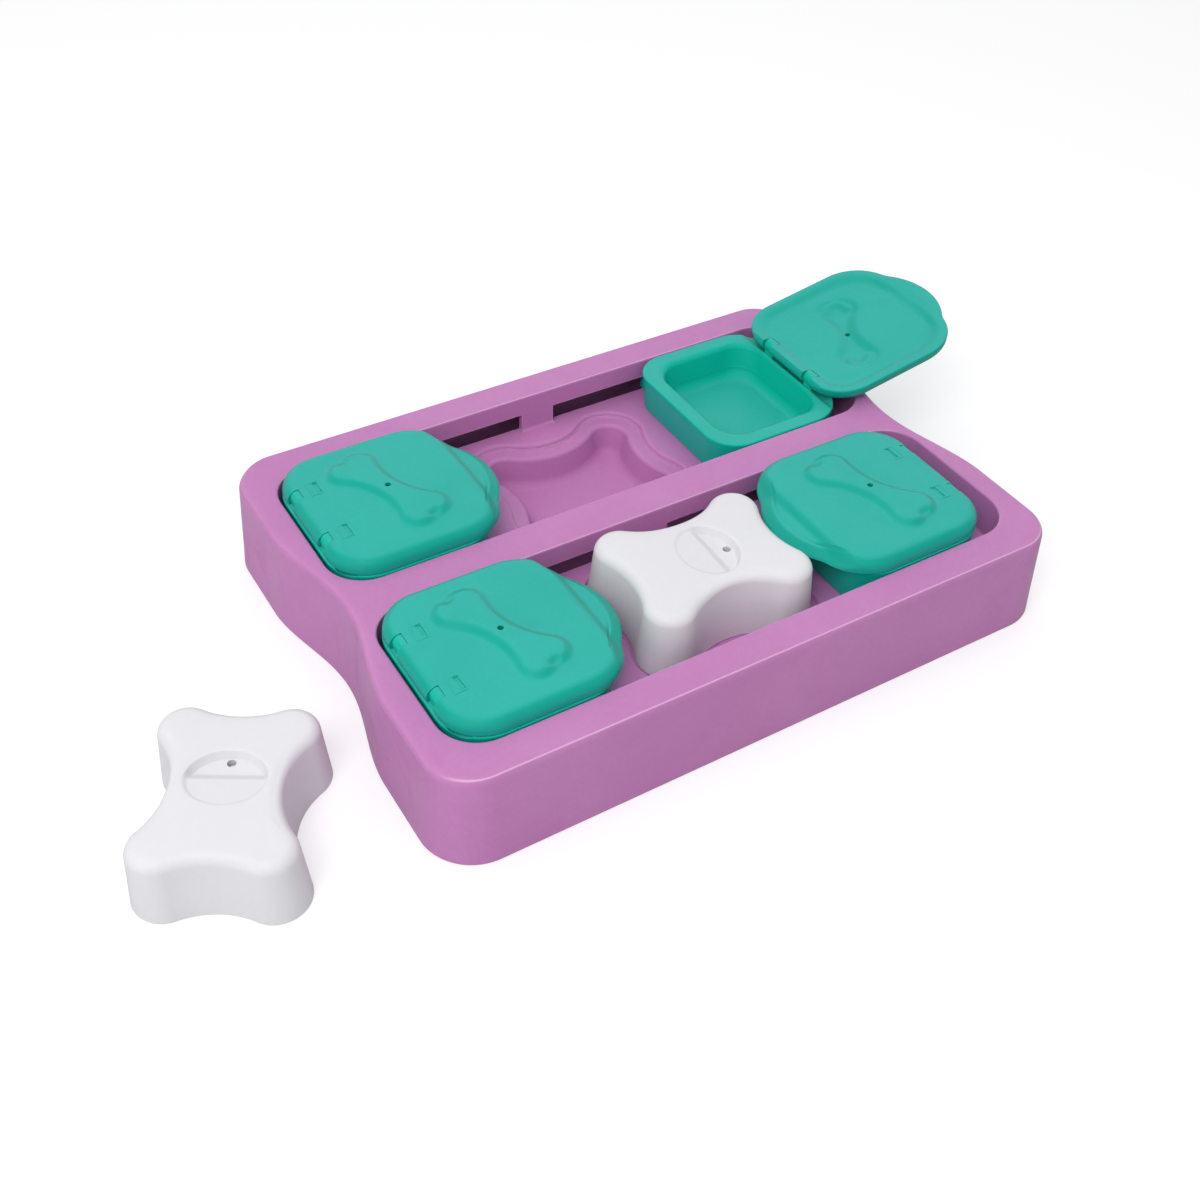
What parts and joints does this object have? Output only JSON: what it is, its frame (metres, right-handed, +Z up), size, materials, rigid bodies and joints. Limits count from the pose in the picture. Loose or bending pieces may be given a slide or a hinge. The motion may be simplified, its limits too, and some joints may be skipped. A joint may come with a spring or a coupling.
{
  "type": "dog puzzle feeder",
  "caption": "Moulded two-channel puzzle feeder tray with sliding food cups under hinged lids and lift-out bone-shaped blocks.",
  "frame": {"origin": "middle of the face that the tray stands on", "axes": "+X along the tray's long side, to the end whose cups stand in from the channel's end; -Y towards the front wall; +Z up"},
  "size_m": [0.5194, 0.2498, 0.0758],
  "materials": {
    "tray_purple": "satin moulded plastic, light purple",
    "cup_teal": "satin moulded plastic, teal",
    "lid_teal": "satin moulded plastic, teal",
    "bone_white": "satin moulded plastic, white"
  },
  "bodies": {
    "tray": {"tray": "tray_purple"},
    "back_left_cup": {"back_left_cup": "cup_teal"},
    "back_left_lid": {"back_left_lid": "lid_teal"},
    "back_right_cup": {"back_right_cup": "cup_teal"},
    "back_right_lid": {"back_right_lid": "lid_teal"},
    "front_left_cup": {"front_left_cup": "cup_teal"},
    "front_left_lid": {"front_left_lid": "lid_teal"},
    "front_right_cup": {"front_right_cup": "cup_teal"},
    "front_right_lid": {"front_right_lid": "lid_teal"},
    "seated_bone": {"seated_bone": "bone_white"},
    "loose_bone": {"loose_bone": "bone_white"}
  },
  "joints": [
    {"name": "back_left_slide", "type": "slide", "parent": "tray", "child": "back_left_cup", "axis": [1, 0, 0], "range_m": [0, 0.052]},
    {"name": "back_left_lid_hinge", "type": "hinge", "parent": "back_left_cup", "child": "back_left_lid", "pos_m": [-0.1482, 0.057, 0.0552], "axis": [0, -1, 0], "range_deg": [0, 170]},
    {"name": "back_right_slide", "type": "slide", "parent": "tray", "child": "back_right_cup", "axis": [-1, 0, 0], "range_m": [-0.012, 0.04]},
    {"name": "back_right_lid_hinge", "type": "hinge", "parent": "back_right_cup", "child": "back_right_lid", "pos_m": [0.13623, 0.057, 0.0552], "axis": [0, 1, 0], "range_deg": [-170, 0]},
    {"name": "front_left_slide", "type": "slide", "parent": "tray", "child": "front_left_cup", "axis": [1, 0, 0], "range_m": [0, 0.008]},
    {"name": "front_left_lid_hinge", "type": "hinge", "parent": "front_left_cup", "child": "front_left_lid", "pos_m": [-0.1482, -0.057, 0.0552], "axis": [0, -1, 0], "range_deg": [0, 170]},
    {"name": "front_right_slide", "type": "slide", "parent": "tray", "child": "front_right_cup", "axis": [-1, 0, 0], "range_m": [-0.012, 0.0005]},
    {"name": "front_right_lid_hinge", "type": "hinge", "parent": "front_right_cup", "child": "front_right_lid", "pos_m": [0.13623, -0.057, 0.0552], "axis": [0, 1, 0], "range_deg": [0, 170]},
    {"name": "seated_bone_lift", "type": "slide", "parent": "tray", "child": "seated_bone", "axis": [0, 0, 1], "range_m": [0, 0.06]},
    {"name": "loose_bone_lift", "type": "slide", "parent": "tray", "child": "loose_bone", "axis": [0, 0, 1], "range_m": [0, 0.02]}
  ]
}
